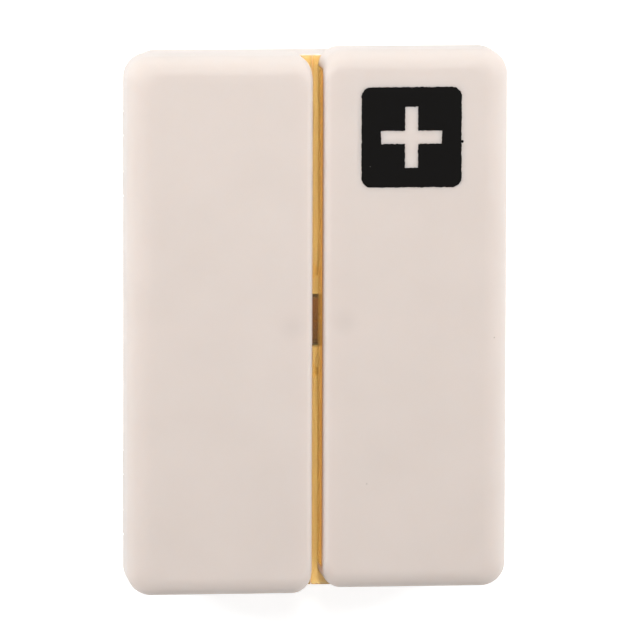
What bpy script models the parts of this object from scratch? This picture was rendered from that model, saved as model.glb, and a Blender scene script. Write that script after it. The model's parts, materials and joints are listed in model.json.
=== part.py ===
"""Folding pill case: a base tray and two hinged wings, each with flip lids over its compartments.

The closed case lies on its back. X runs across both wings, Y along the case, and Z goes up
from the base's underside to the wings' faces. The origin is under the middle of the case.
"""

import math

import bmesh
import bpy
from mathutils import Matrix, Vector

MM = 0.001

# Overall sizes
WING_LENGTH = 95.0 * MM
CASE_WIDTH = 66.9 * MM
BASE_DEPTH = 16.6 * MM
WING_DEPTH = 11.4 * MM
WING_GAP = 2.0 * MM

# The base ends inside its wings, and each wing sits a little up along the base
BASE_SETBACK = 0.5 * MM
LEFT_SLIP = 0.30 * MM
RIGHT_SLIP = 1.26 * MM

# Mouldings
WALL = 1.6 * MM
FLOOR = 1.6 * MM
PARTITION = 1.6 * MM
SPINE = 2.6 * MM
WING_INNER_WALL = 2.2 * MM
PLAN_RADIUS = 4.3 * MM
FACE_RADIUS = 2.7 * MM
INNER_PLAN_RADIUS = 3.4 * MM
BASE_PLAN_RADIUS = 4.0 * MM
ROLL_DEPTH = 3.4 * MM
OUTER_ROLL = 4.4 * MM
END_ROLL = 3.4 * MM
INNER_ROLL = 1.1 * MM
INNER_ROLL_DEPTH = 1.1 * MM
BACK_ROLL = 2.4 * MM
POCKET_RADIUS = 1.4 * MM
POCKET_FILLET = 1.2 * MM

# Clearances
CLEARANCE = 0.3 * MM
SEAM = 0.4 * MM
BORE_CLEARANCE = 0.22 * MM

# Wing hinges
PIN_RADIUS = 0.5 * MM
KNUCKLE_RADIUS = 1.2 * MM
HINGE_FROM_END = 17.0 * MM
HINGE_RAIL = 0.7 * MM
BASE_KNUCKLE = 4.0 * MM
WING_KNUCKLE = 6.0 * MM
KNUCKLE_ARM = 1.15 * MM

# Flip lids
LID_THICKNESS = 1.4 * MM
ROD_RADIUS = 0.5 * MM
BARREL_RADIUS = 1.2 * MM
LUG_RADIUS = 1.45 * MM
LUG_LENGTH = 2.2 * MM
LUG_WEB = 1.3 * MM
LUG_ROOT = 0.3 * MM
MIDDLE_LUG_LENGTH = 3.2 * MM
LID_TAIL = 0.4 * MM
PIVOT_UNDER_LID = 0.2 * MM
LID_CORNER = 1.5 * MM
LIP_DEPTH = 7.4 * MM
LIP_THICKNESS = 0.9 * MM
NOTCH_PLACE = 8.8 * MM
NOTCH_LENGTH = 4.2 * MM
NOTCH_FLAT = 1.1 * MM
NOTCH_REACH = 1.0 * MM
NOTCH_DEPTH = 0.5 * MM
NOTCH_TAPER = 0.6

# Magnets
BASE_MAGNET = Vector((12.0, 8.8, 3.0)) * MM
WING_MAGNET = Vector((3.0, 8.4, 3.0)) * MM
POST_WALL = 1.2 * MM
MAGNET_GAP = 0.25 * MM

# Printed badge on the right wing
BADGE_SIZE = 17.6 * MM
BADGE_RADIUS = 1.65 * MM
BADGE_FROM_END = 15.2 * MM
BADGE_FROM_GAP = 15.25 * MM
CROSS_LENGTH = 10.7 * MM
CROSS_WIDTH = 2.3 * MM
INK_THICKNESS = 0.08 * MM
INK_GAP = 0.03 * MM

# Facets and cutters
CORNER_STEPS = 6
ROLL_STEPS = 5
FILLET_STEPS = 3
SHARP_ANGLE = math.radians(35)
CUT_BEYOND = 5.0 * MM
ROUND_SIDES = 16
PIN_SIDES = 12

# Heights that the pieces share
PARTING = BASE_DEPTH
CASE_HEIGHT = BASE_DEPTH + WING_DEPTH
BASE_RIM = PARTING - CLEARANCE / 2
WING_RIM = PARTING + CLEARANCE / 2
LID_FACE = CLEARANCE
LID_BACK = LID_FACE + LID_THICKNESS
LID_SEAT = LID_BACK + CLEARANCE
PIVOT_DEPTH = LID_BACK + PIVOT_UNDER_LID

# Places along the case
BASE_LENGTH = WING_LENGTH - 2 * BASE_SETBACK
BASE_MIDDLE = -(LEFT_SLIP + RIGHT_SLIP) / 2
WING_MIDDLE = {"left": BASE_MIDDLE + LEFT_SLIP, "right": BASE_MIDDLE + RIGHT_SLIP}
HINGE_STATION = BASE_LENGTH / 2 - HINGE_FROM_END
BASE_POCKET_END = BASE_LENGTH / 2 - WALL
WING_POCKET_END = WING_LENGTH / 2 - WALL
LIP_END = WING_LENGTH / 2 - INNER_PLAN_RADIUS - CLEARANCE

# Places across the case, on the right-hand side
BORE_RADIUS = PIN_RADIUS + BORE_CLEARANCE
ROD_BORE = ROD_RADIUS + BORE_CLEARANCE
WING_OUTER = CASE_WIDTH / 2
WING_INNER = WING_GAP / 2
HINGE_X = WING_OUTER - KNUCKLE_RADIUS
BASE_SIDE = HINGE_X - KNUCKLE_RADIUS - CLEARANCE
LID_SWING = max(math.hypot(LID_TAIL, PIVOT_DEPTH - LID_FACE), BARREL_RADIUS, LUG_RADIUS) + CLEARANCE
BASE_POCKET_OUTER = BASE_SIDE - WALL
WING_POCKET_OUTER = BASE_SIDE - HINGE_RAIL
BASE_PIVOT_X = BASE_POCKET_OUTER - LID_SWING
WING_PIVOT_X = WING_POCKET_OUTER - LID_SWING
WING_POCKET_INNER = WING_INNER + WING_INNER_WALL
LID_NOTCH = LUG_RADIUS + CLEARANCE
LIP_RECESS = LIP_THICKNESS + CLEARANCE
WING_MAGNET_X = WING_INNER + LIP_RECESS + MAGNET_GAP + WING_MAGNET.x / 2

SIDES = {"left": -1, "right": 1}
ENDS = {"lower": -1, "upper": 1}


def clear_scene():
    for item in list(bpy.data.objects):
        bpy.data.objects.remove(item, do_unlink=True)


def material(name, colour, roughness, metallic=0.0, transmission=0.0):
    made = bpy.data.materials.new(name)
    made.use_nodes = True
    made.diffuse_color = (*colour, 1.0)
    shader = made.node_tree.nodes["Principled BSDF"]
    shader.inputs["Base Color"].default_value = (*colour, 1.0)
    shader.inputs["Roughness"].default_value = roughness
    shader.inputs["Metallic"].default_value = metallic
    shader.inputs["Transmission Weight"].default_value = transmission
    return made


def rounded_outline(x0, x1, y0, y1, radius, inner_radius=None, steps=CORNER_STEPS):
    """Points round a rectangle with arcs at its corners, anticlockwise.

    The two corners at x0 take the inner radius where one is given.
    """
    other = radius if inner_radius is None else inner_radius
    points = []
    corners = ((x1, -1, y1, -1, radius), (x0, 1, y1, -1, other),
               (x0, 1, y0, 1, other), (x1, -1, y0, 1, radius))
    for quarter, (edge_x, way_x, edge_y, way_y, bend) in enumerate(corners):
        cx = edge_x + way_x * bend
        cy = edge_y + way_y * bend
        for step in range(steps + 1):
            angle = (quarter + step / steps) * math.pi / 2
            points.append((cx + bend * math.cos(angle), cy + bend * math.sin(angle)))
    return points


def loft(name, rings):
    """Closed solid through rings of equal length, each a list of points, from the bottom up."""
    shape = bmesh.new()
    made = [[shape.verts.new(point) for point in ring] for ring in rings]
    count = len(rings[0])
    shape.faces.new(list(reversed(made[0])))
    shape.faces.new(made[-1])
    for low, high in zip(made, made[1:]):
        for i in range(count):
            j = (i + 1) % count
            shape.faces.new((low[i], low[j], high[j], high[i]))
    mesh = bpy.data.meshes.new(name)
    shape.to_mesh(mesh)
    shape.free()
    item = bpy.data.objects.new(name, mesh)
    bpy.context.scene.collection.objects.link(item)
    return item


def prism(name, outline, z0, z1):
    return loft(name, [[(x, y, z) for x, y in outline] for z in (z0, z1)])


def block(name, x0, x1, y0, y1, z0, z1):
    return prism(name, [(x1, y1), (x0, y1), (x0, y0), (x1, y0)], z0, z1)


def round_bar(name, x, z, y0, y1, radius, sides=ROUND_SIDES):
    """Cylinder along Y, with a flat of its outline facing up."""
    angles = [(i + 0.5) * 2 * math.pi / sides for i in range(sides)]
    rings = []
    for y in (y1, y0):
        rings.append([(x + radius * math.cos(a), y, z + radius * math.sin(a)) for a in angles])
    return loft(name, rings)


def combine(target, tools, operation):
    """Join the tools to the target, or cut them from it, and leave one plain mesh."""
    for tool in tools:
        tool.hide_render = True
        tool.display_type = "WIRE"
        change = target.modifiers.new(tool.name, "BOOLEAN")
        change.operation = operation
        change.object = tool
    bpy.context.view_layer.update()
    graph = bpy.context.evaluated_depsgraph_get()
    result = bpy.data.meshes.new_from_object(target.evaluated_get(graph))
    result.name = target.name
    target.modifiers.clear()
    target.data = result
    for tool in tools:
        bpy.data.objects.remove(tool, do_unlink=True)


def mirrored(item, side, end, middle):
    """Turn a piece of the right upper quarter into its twin on another side or end."""
    flip = Matrix.Translation((0, middle, 0)) @ Matrix.Diagonal((side, end, 1, 1))
    item.data.transform(flip @ Matrix.Translation((0, -middle, 0)))
    if side * end < 0:
        item.data.flip_normals()


def finish(item, surface, pivot, parent=None):
    """Give a piece its material, its origin on its axis, and what carries it."""
    item.data.materials.clear()
    item.data.materials.append(surface)
    for face in item.data.polygons:
        face.use_smooth = True
    item.data.set_sharp_from_angle(angle=SHARP_ANGLE)
    item.data.transform(Matrix.Translation(-pivot))
    item.parent = parent
    item.location = pivot - parent.location if parent else pivot


def axis_empty(name, place):
    item = bpy.data.objects.new(name, None)
    bpy.context.scene.collection.objects.link(item)
    item.empty_display_size = KNUCKLE_RADIUS
    item.location = place
    return item


def pocket(name, x0, x1, y0, y1, floor, mouth):
    """Cutter for one compartment, with rounded corners and a fillet round its floor."""
    way = 1 if mouth > floor else -1
    rings = []
    for step in range(FILLET_STEPS + 1):
        angle = step / FILLET_STEPS * math.pi / 2
        inset = POCKET_FILLET * (1 - math.sin(angle))
        z = floor + way * POCKET_FILLET * (1 - math.cos(angle))
        outline = rounded_outline(x0 + inset, x1 - inset, y0 + inset, y1 - inset, POCKET_RADIUS - inset)
        rings.append([(x, y, z) for x, y in outline])
    rings.append([(x, y, mouth) for x, y, _ in rings[-1]])
    if way < 0:
        rings.reverse()
    return loft(name, rings)


def lid_lugs(label, pivot_x, pivot_z, wall_x, pocket_end, middle):
    """The eyes in which a lid rod sits: one at each end and one between the two lids."""
    spans = [(pocket_end - LUG_LENGTH, pocket_end + LUG_ROOT),
             (-MIDDLE_LUG_LENGTH / 2, MIDDLE_LUG_LENGTH / 2),
             (-pocket_end - LUG_ROOT, LUG_LENGTH - pocket_end)]
    lugs = []
    for i, (y0, y1) in enumerate(spans):
        lugs.append(round_bar(f"{label}_eye_{i}", pivot_x, pivot_z, middle + y0, middle + y1, LUG_RADIUS))
        lugs.append(block(f"{label}_web_{i}", pivot_x, wall_x + LUG_ROOT, middle + y0, middle + y1,
                          pivot_z - LUG_WEB, pivot_z + LUG_WEB))
    return lugs


def rod_bore(label, pivot_x, pivot_z, pocket_end, outside, middle):
    """Hole for a lid rod, blind in the upper end and open in the lower one."""
    return round_bar(label, pivot_x, pivot_z, middle - outside, middle + pocket_end + WALL / 4, ROD_BORE)


def knuckle_spans(end):
    """Base knuckles and wing knuckle of one hinge, as spans along the base's length."""
    centre = BASE_MIDDLE + end * HINGE_STATION
    inner = WING_KNUCKLE / 2
    outer = inner + CLEARANCE
    base = [(centre - outer - BASE_KNUCKLE, centre - outer), (centre + outer, centre + outer + BASE_KNUCKLE)]
    return base, (centre - inner, centre + inner)


def build_base(surface):
    half = BASE_LENGTH / 2
    rings = []
    for step in range(ROLL_STEPS + 1):
        angle = step / ROLL_STEPS * math.pi / 2
        inset = BACK_ROLL * (1 - math.sin(angle))
        z = BACK_ROLL * (1 - math.cos(angle))
        outline = rounded_outline(inset - BASE_SIDE, BASE_SIDE - inset, BASE_MIDDLE - half + inset,
                                  BASE_MIDDLE + half - inset, BASE_PLAN_RADIUS - inset)
        rings.append([(x, y, z) for x, y in outline])
    rings.append([(x, y, BASE_RIM) for x, y, _ in rings[-1]])
    tray = loft("base_tray", rings)

    above = PARTING + CUT_BEYOND
    seat = PARTING - LID_SEAT
    cuts = []
    for side_name, side in SIDES.items():
        for end_name, end in ENDS.items():
            hole = pocket(f"pocket_{end_name}_{side_name}", SPINE / 2, BASE_POCKET_OUTER,
                          BASE_MIDDLE + PARTITION / 2, BASE_MIDDLE + BASE_POCKET_END, FLOOR, above)
            mirrored(hole, side, end, BASE_MIDDLE)
            cuts.append(hole)
    cuts.append(block("lid_seat", -BASE_PIVOT_X, BASE_PIVOT_X, BASE_MIDDLE - BASE_LENGTH,
                      BASE_MIDDLE + BASE_LENGTH, seat, above))
    for side_name, side in SIDES.items():
        edges = sorted((side * (BASE_PIVOT_X - WALL), side * BASE_POCKET_OUTER))
        cuts.append(block(f"swing_{side_name}", *edges, BASE_MIDDLE - BASE_LENGTH, BASE_MIDDLE + BASE_LENGTH,
                          BASE_RIM - CLEARANCE, above))
    combine(tray, cuts, "DIFFERENCE")

    post = BASE_MAGNET / 2 + Vector((1, 1, 0)) * (MAGNET_GAP + POST_WALL)
    joins = [block("magnet_post", -post.x, post.x, BASE_MIDDLE - post.y, BASE_MIDDLE + post.y,
                   FLOOR / 2, seat)]
    for side_name, side in SIDES.items():
        lugs = lid_lugs(f"base_{side_name}", BASE_PIVOT_X, PARTING - PIVOT_DEPTH, BASE_POCKET_OUTER,
                        BASE_POCKET_END, BASE_MIDDLE)
        for end in ENDS.values():
            for i, (y0, y1) in enumerate(knuckle_spans(end)[0]):
                label = f"knuckle_{side_name}_{end}_{i}"
                lugs.append(round_bar(label, HINGE_X, PARTING, y0, y1, KNUCKLE_RADIUS))
                lugs.append(block(label + "_arm", BASE_SIDE - WALL / 2, HINGE_X, y0, y1,
                                  PARTING - KNUCKLE_ARM, BASE_RIM - CLEARANCE / 4))
        for lug in lugs:
            mirrored(lug, side, 1, BASE_MIDDLE)
        joins += lugs
    combine(tray, joins, "UNION")

    room = BASE_MAGNET / 2 + Vector((1, 1, 1)) * MAGNET_GAP
    cuts = [block("magnet_room", -room.x, room.x, BASE_MIDDLE - room.y, BASE_MIDDLE + room.y,
                  seat - 2 * room.z, above)]
    for side_name, side in SIDES.items():
        bores = [rod_bore(f"rod_bore_{side_name}", BASE_PIVOT_X, PARTING - PIVOT_DEPTH, BASE_POCKET_END,
                          BASE_LENGTH, BASE_MIDDLE)]
        for end_name, end in ENDS.items():
            low, high = knuckle_spans(end)[0]
            bores.append(round_bar(f"pin_bore_{end_name}_{side_name}", HINGE_X, PARTING,
                                   low[0] - CLEARANCE, high[1] + CLEARANCE, BORE_RADIUS))
        for bore in bores:
            mirrored(bore, side, 1, BASE_MIDDLE)
        cuts += bores
    combine(tray, cuts, "DIFFERENCE")
    finish(tray, surface, Vector())


def inner_share(z):
    """Share of the roll beside the gap that a wing has taken at a height."""
    up = max(0.0, 1 - (CASE_HEIGHT - z) / INNER_ROLL_DEPTH)
    return 1 - math.sqrt(max(0.0, 1 - up * up))


def build_wing(side_name, surface, parent, pivot):
    side = SIDES[side_name]
    middle = WING_MIDDLE[side_name]
    half = WING_LENGTH / 2
    rings = [None]
    for step in range(ROLL_STEPS + 1):
        angle = step / ROLL_STEPS * math.pi / 2
        share = 1 - math.cos(angle)
        z = CASE_HEIGHT - ROLL_DEPTH * (1 - math.sin(angle))
        inner_roll = INNER_ROLL * inner_share(z)
        outline = rounded_outline(WING_INNER + inner_roll, WING_OUTER - OUTER_ROLL * share,
                                  middle - half + END_ROLL * share, middle + half - END_ROLL * share,
                                  PLAN_RADIUS + (FACE_RADIUS - PLAN_RADIUS) * share,
                                  INNER_PLAN_RADIUS - inner_roll)
        rings.append([(x, y, z) for x, y in outline])
    rings[0] = [(x, y, WING_RIM) for x, y, _ in rings[1]]
    shell = loft(f"{side_name}_wing_shell", rings)

    below = PARTING - CUT_BEYOND
    seat = PARTING + LID_SEAT
    cuts = []
    for end_name, end in ENDS.items():
        hole = pocket(f"pocket_{end_name}", WING_POCKET_INNER, WING_POCKET_OUTER, middle + PARTITION / 2,
                      middle + WING_POCKET_END, CASE_HEIGHT - FLOOR, below)
        mirrored(hole, 1, end, middle)
        cuts.append(hole)
    cuts.append(block("lid_seat", WING_POCKET_INNER - CLEARANCE, WING_PIVOT_X, middle - LIP_END,
                      middle + LIP_END, below, seat))
    cuts.append(block("swing", WING_PIVOT_X - WALL, WING_POCKET_OUTER, middle - WING_POCKET_END,
                      middle + WING_POCKET_END, below, WING_RIM + CLEARANCE))
    cuts.append(block("lip_step", -WING_INNER, WING_POCKET_INNER + CLEARANCE, middle - LIP_END - CLEARANCE,
                      middle + LIP_END + CLEARANCE, below, seat))
    cuts.append(block("lip_room", -WING_INNER, WING_INNER + LIP_RECESS, middle - LIP_END - CLEARANCE,
                      middle + LIP_END + CLEARANCE, below, PARTING + LID_FACE + LIP_DEPTH + CLEARANCE))
    for end_name, end in ENDS.items():
        low, high = knuckle_spans(end)[0]
        cuts.append(block(f"knuckle_room_{end_name}", BASE_SIDE, WING_OUTER + WALL, low[0] - CLEARANCE,
                          high[1] + CLEARANCE, below, PARTING + KNUCKLE_RADIUS + CLEARANCE))
    combine(shell, cuts, "DIFFERENCE")

    post_x = WING_MAGNET.x / 2 + MAGNET_GAP + POST_WALL
    post_y = WING_MAGNET.y / 2 + MAGNET_GAP + POST_WALL
    joins = [block("magnet_post", WING_INNER + LIP_RECESS + WALL / 4, WING_MAGNET_X + post_x, middle - post_y,
                   middle + post_y, seat, CASE_HEIGHT - FLOOR / 2)]
    joins += lid_lugs("wing", WING_PIVOT_X, PARTING + PIVOT_DEPTH, WING_POCKET_OUTER, WING_POCKET_END, middle)
    for end in ENDS.values():
        y0, y1 = knuckle_spans(end)[1]
        joins.append(round_bar(f"knuckle_{end}", HINGE_X, PARTING, y0, y1, KNUCKLE_RADIUS))
        joins.append(block(f"knuckle_root_{end}", HINGE_X - KNUCKLE_RADIUS, WING_OUTER, y0, y1, PARTING,
                           PARTING + KNUCKLE_RADIUS + 2 * CLEARANCE))
    combine(shell, joins, "UNION")

    room = WING_MAGNET / 2 + Vector((1, 1, 1)) * MAGNET_GAP
    cuts = [block("magnet_room", WING_INNER + LIP_RECESS / 2, WING_MAGNET_X + room.x, middle - room.y,
                  middle + room.y, below, seat + 2 * room.z)]
    cuts.append(rod_bore("rod_bore", WING_PIVOT_X, PARTING + PIVOT_DEPTH, WING_POCKET_END, WING_LENGTH,
                         middle))
    for end_name, end in ENDS.items():
        y0, y1 = knuckle_spans(end)[1]
        cuts.append(round_bar(f"pin_bore_{end_name}", HINGE_X, PARTING, y0 - CLEARANCE, y1 + CLEARANCE,
                              BORE_RADIUS))
    combine(shell, cuts, "DIFFERENCE")
    mirrored(shell, side, 1, middle)
    finish(shell, surface, pivot, parent)


def lid_outline(inner_x, pivot_x, barrel_end, corner):
    """Plan of a right upper lid, anticlockwise, with notches round the rod's eyes."""
    cut = pivot_x - LID_NOTCH
    tail = pivot_x + LID_TAIL
    first = MIDDLE_LUG_LENGTH / 2 + CLEARANCE
    end_y = corner[0][1]
    points = [(inner_x, SEAM / 2), (cut, SEAM / 2), (cut, first), (tail, first)]
    points += [(tail, barrel_end), (cut, barrel_end), (cut, end_y)]
    return points + corner


def lid_barrel(lid, pivot_x, pivot_z, barrel_end, middle):
    """Join the hinge barrel to a lid and bore it for its rod."""
    first = MIDDLE_LUG_LENGTH / 2 + CLEARANCE
    combine(lid, [round_bar("barrel", pivot_x, pivot_z, middle + first, middle + barrel_end, BARREL_RADIUS)],
            "UNION")
    combine(lid, [round_bar("barrel_bore", pivot_x, pivot_z, middle, middle + barrel_end + WALL, ROD_BORE)],
            "DIFFERENCE")


def thumb_notch(top):
    """Cutter for the tapered scoop at a base lid's free edge, at its named size on the lid's face."""
    y = BASE_MIDDLE + NOTCH_PLACE
    rings = []
    for way in (-1, 1):
        z = top + way * NOTCH_DEPTH
        grow = 1 + way * NOTCH_TAPER
        wide = NOTCH_LENGTH / 2 * grow
        flat = NOTCH_FLAT / 2 * grow
        reach = SEAM / 2 + NOTCH_REACH * grow
        rings.append([(reach, y - flat, z), (reach, y + flat, z), (-SEAM, y + wide, z), (-SEAM, y - wide, z)])
    return loft("thumb_notch", rings)


def build_base_lid(side_name, end_name, surface, pivot):
    barrel_end = BASE_POCKET_END - LUG_LENGTH - CLEARANCE
    outline = lid_outline(SEAM / 2, BASE_PIVOT_X, barrel_end, [(SEAM / 2, BASE_LENGTH / 2)])
    outline = [(x, y + BASE_MIDDLE) for x, y in outline]
    top = PARTING - LID_FACE
    lid = prism(f"base_lid_{end_name}_{side_name}", outline, PARTING - LID_BACK, top)
    lid_barrel(lid, BASE_PIVOT_X, PARTING - PIVOT_DEPTH, barrel_end, BASE_MIDDLE)
    combine(lid, [thumb_notch(top)], "DIFFERENCE")
    mirrored(lid, SIDES[side_name], ENDS[end_name], BASE_MIDDLE)
    finish(lid, surface, pivot)


def build_wing_lid(side_name, end_name, surface, parent, pivot):
    middle = WING_MIDDLE[side_name]
    barrel_end = WING_POCKET_END - LUG_LENGTH - CLEARANCE
    inset_x = WING_POCKET_INNER + CLEARANCE
    end_y = WING_POCKET_END - CLEARANCE
    corner = [(inset_x + LID_CORNER, end_y), (inset_x, end_y - LID_CORNER), (inset_x, LIP_END),
              (WING_INNER, LIP_END)]
    outline = lid_outline(WING_INNER, WING_PIVOT_X, barrel_end, corner)
    outline = [(x, y + middle) for x, y in outline]
    bottom = PARTING + LID_FACE
    lid = prism(f"wing_lid_{end_name}_{side_name}", outline, bottom, PARTING + LID_BACK)
    lip = block("lip", WING_INNER, WING_INNER + LIP_THICKNESS, middle + SEAM / 2, middle + LIP_END,
                bottom + LID_THICKNESS / 2, bottom + LIP_DEPTH)
    combine(lid, [lip], "UNION")
    lid_barrel(lid, WING_PIVOT_X, PARTING + PIVOT_DEPTH, barrel_end, middle)
    mirrored(lid, SIDES[side_name], ENDS[end_name], middle)
    finish(lid, surface, pivot, parent)


def build_badge(surface, parent):
    """Printed square on the right wing's face, open where the plus leaves the plastic bare."""
    x = WING_INNER + BADGE_FROM_GAP
    y = WING_MIDDLE["right"] + WING_LENGTH / 2 - BADGE_FROM_END
    half = BADGE_SIZE / 2
    z0 = CASE_HEIGHT + INK_GAP
    z1 = z0 + INK_THICKNESS
    square = rounded_outline(x - half, x + half, y - half, y + half, BADGE_RADIUS)
    badge = prism("cross_badge", square, z0, z1)
    arm = CROSS_LENGTH / 2
    wide = CROSS_WIDTH / 2
    corners = [(wide, wide), (wide, arm), (-wide, arm), (-wide, wide), (-arm, wide), (-arm, -wide),
               (-wide, -wide), (-wide, -arm), (wide, -arm), (wide, -wide), (arm, -wide), (arm, wide)]
    plus = prism("cross", [(x + dx, y + dy) for dx, dy in corners], z0 - INK_THICKNESS, z1 + INK_THICKNESS)
    combine(badge, [plus], "DIFFERENCE")
    finish(badge, surface, parent.location.copy(), parent)


def build_magnet(name, size, centre, surface, parent=None, pivot=Vector()):
    magnet = block(name, centre.x - size.x / 2, centre.x + size.x / 2, centre.y - size.y / 2,
                   centre.y + size.y / 2, centre.z - size.z / 2, centre.z + size.z / 2)
    finish(magnet, surface, pivot, parent)


def build_pin(name, axis, y0, y1, radius, surface, parent=None):
    """Steel pin or rod along Y, with its origin on its own axis."""
    pin = round_bar(name, axis.x, axis.z, y0, y1, radius, PIN_SIDES)
    finish(pin, surface, axis, parent)


def build_half(side_name, pale, amber, steel, nickel):
    """One wing with its lids, and the lids and pins of the base on that side."""
    side = SIDES[side_name]
    middle = WING_MIDDLE[side_name]
    hinge = Vector((side * HINGE_X, 0, PARTING))
    base_axis = Vector((side * BASE_PIVOT_X, BASE_MIDDLE, PARTING - PIVOT_DEPTH))
    lid_axis = Vector((side * WING_PIVOT_X, middle, PARTING + PIVOT_DEPTH))
    magnet_z = PARTING + LID_SEAT + MAGNET_GAP + WING_MAGNET.z / 2

    wing_axis = axis_empty(f"{side_name}_wing_axis", hinge)
    build_wing(side_name, pale, wing_axis, hinge)
    build_magnet(f"{side_name}_wing_magnet", WING_MAGNET, Vector((side * WING_MAGNET_X, middle, magnet_z)),
                 nickel, wing_axis, hinge)
    build_pin(f"base_lid_rod_{side_name}", base_axis, BASE_MIDDLE - BASE_POCKET_END,
              BASE_MIDDLE + BASE_POCKET_END, ROD_RADIUS, steel)
    build_pin(f"wing_lid_rod_{side_name}", lid_axis, middle - WING_POCKET_END, middle + WING_POCKET_END,
              ROD_RADIUS, steel, wing_axis)
    for end_name, end in ENDS.items():
        build_base_lid(side_name, end_name, amber, base_axis)
        build_wing_lid(side_name, end_name, amber, wing_axis, lid_axis)
        low, high = knuckle_spans(end)[0]
        build_pin(f"hinge_pin_{end_name}_{side_name}", hinge, low[0], high[1], PIN_RADIUS, steel)
    return wing_axis


def build_case():
    pale = material("pale_plastic", (0.78, 0.68, 0.60), 0.42)
    amber = material("amber_plastic", (0.80, 0.45, 0.12), 0.18, transmission=0.6)
    steel = material("steel", (0.62, 0.61, 0.60), 0.28, metallic=1.0)
    nickel = material("nickel", (0.50, 0.48, 0.46), 0.25, metallic=1.0)
    ink = material("black_ink", (0.008, 0.007, 0.006), 0.6)

    build_base(pale)
    magnet_z = PARTING - LID_SEAT - MAGNET_GAP - BASE_MAGNET.z / 2
    build_magnet("base_magnet", BASE_MAGNET, Vector((0, BASE_MIDDLE, magnet_z)), nickel)
    build_half("left", pale, amber, steel, nickel)
    right_axis = build_half("right", pale, amber, steel, nickel)
    build_badge(ink, right_axis)


clear_scene()
build_case()
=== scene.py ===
"""Looks of a closed folding pill case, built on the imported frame.

X runs across both wings, Y along the case, and Z up from the base's back to the wings' faces.
Lengths are in metres. Every piece is modelled where it lies at rest and rides on one body.
"""

import json
import math

import bmesh
import bpy
from mathutils import Matrix, Vector, noise


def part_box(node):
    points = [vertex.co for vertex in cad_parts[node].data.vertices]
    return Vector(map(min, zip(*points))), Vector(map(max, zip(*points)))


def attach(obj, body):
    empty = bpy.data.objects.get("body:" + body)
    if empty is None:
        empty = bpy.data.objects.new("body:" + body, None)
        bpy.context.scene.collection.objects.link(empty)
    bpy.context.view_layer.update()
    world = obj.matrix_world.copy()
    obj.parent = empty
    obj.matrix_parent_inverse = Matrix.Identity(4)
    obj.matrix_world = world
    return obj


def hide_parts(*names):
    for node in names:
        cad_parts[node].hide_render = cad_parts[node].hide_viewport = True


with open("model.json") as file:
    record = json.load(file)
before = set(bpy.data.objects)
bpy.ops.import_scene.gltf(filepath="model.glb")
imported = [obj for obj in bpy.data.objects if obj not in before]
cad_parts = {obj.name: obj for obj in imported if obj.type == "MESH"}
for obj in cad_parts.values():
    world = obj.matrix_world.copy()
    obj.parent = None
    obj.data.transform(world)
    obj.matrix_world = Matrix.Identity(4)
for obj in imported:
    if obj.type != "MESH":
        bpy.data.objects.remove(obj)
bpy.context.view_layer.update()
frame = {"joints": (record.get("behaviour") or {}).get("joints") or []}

MM = 0.001
SIDES = {"left": -1, "right": 1}
ENDS = {"lower": -1, "upper": 1}

# Places that the frame gives
WING_BOX = {side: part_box(f"{side}_wing_shell") for side in SIDES}
TRAY_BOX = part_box("base_tray")
BADGE_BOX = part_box("cross_badge")
AXES = {joint["name"]: Vector(joint["pos_m"]) for joint in frame["joints"]}

WING_INNER = WING_BOX["right"][0].x
WING_OUTER = WING_BOX["right"][1].x
WING_LENGTH = WING_BOX["right"][1].y - WING_BOX["right"][0].y
WING_MIDDLE = {side: (low.y + high.y) / 2 for side, (low, high) in WING_BOX.items()}
CASE_HEIGHT = WING_BOX["right"][1].z
BASE_LENGTH = TRAY_BOX[1].y - TRAY_BOX[0].y
BASE_MIDDLE = (TRAY_BOX[0].y + TRAY_BOX[1].y) / 2
HINGE_X = AXES["right_wing_hinge"].x
PARTING = AXES["right_wing_hinge"].z
BASE_PIVOT_X = AXES["upper_right_base_lid_hinge"].x
WING_PIVOT_X = AXES["upper_right_wing_lid_hinge"].x
PIVOT_DEPTH = PARTING - AXES["upper_right_base_lid_hinge"].z
KNUCKLE_RADIUS = WING_OUTER - HINGE_X

# Mouldings
WALL = 1.6 * MM
FLOOR = 1.6 * MM
PARTITION = 1.6 * MM
SPINE = 2.6 * MM
WING_INNER_WALL = 2.2 * MM
PLAN_RADIUS = 4.3 * MM
FACE_RADIUS = 2.7 * MM
INNER_PLAN_RADIUS = 3.4 * MM
BASE_PLAN_RADIUS = 4.0 * MM
ROLL_DEPTH = 3.4 * MM
OUTER_ROLL = 4.4 * MM
END_ROLL = 3.4 * MM
INNER_ROLL = 1.1 * MM
INNER_ROLL_DEPTH = 1.1 * MM
BACK_ROLL = 2.4 * MM
POCKET_RADIUS = 1.4 * MM
POCKET_FILLET = 1.2 * MM
RIM_EASE = 0.25 * MM
FACE_RING = 0.5 * MM

# Clearances
CLEARANCE = 0.3 * MM
SEAM = 0.2 * MM
BORE_CLEARANCE = 0.22 * MM

# Hinges
PIN_RADIUS = 0.5 * MM
PIN_CHAMFER = 0.15 * MM
HINGE_FROM_END = 17.0 * MM
HINGE_RAIL = 0.7 * MM
BASE_KNUCKLE = 4.0 * MM
WING_KNUCKLE = 6.0 * MM
KNUCKLE_ARM = 1.15 * MM

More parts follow.
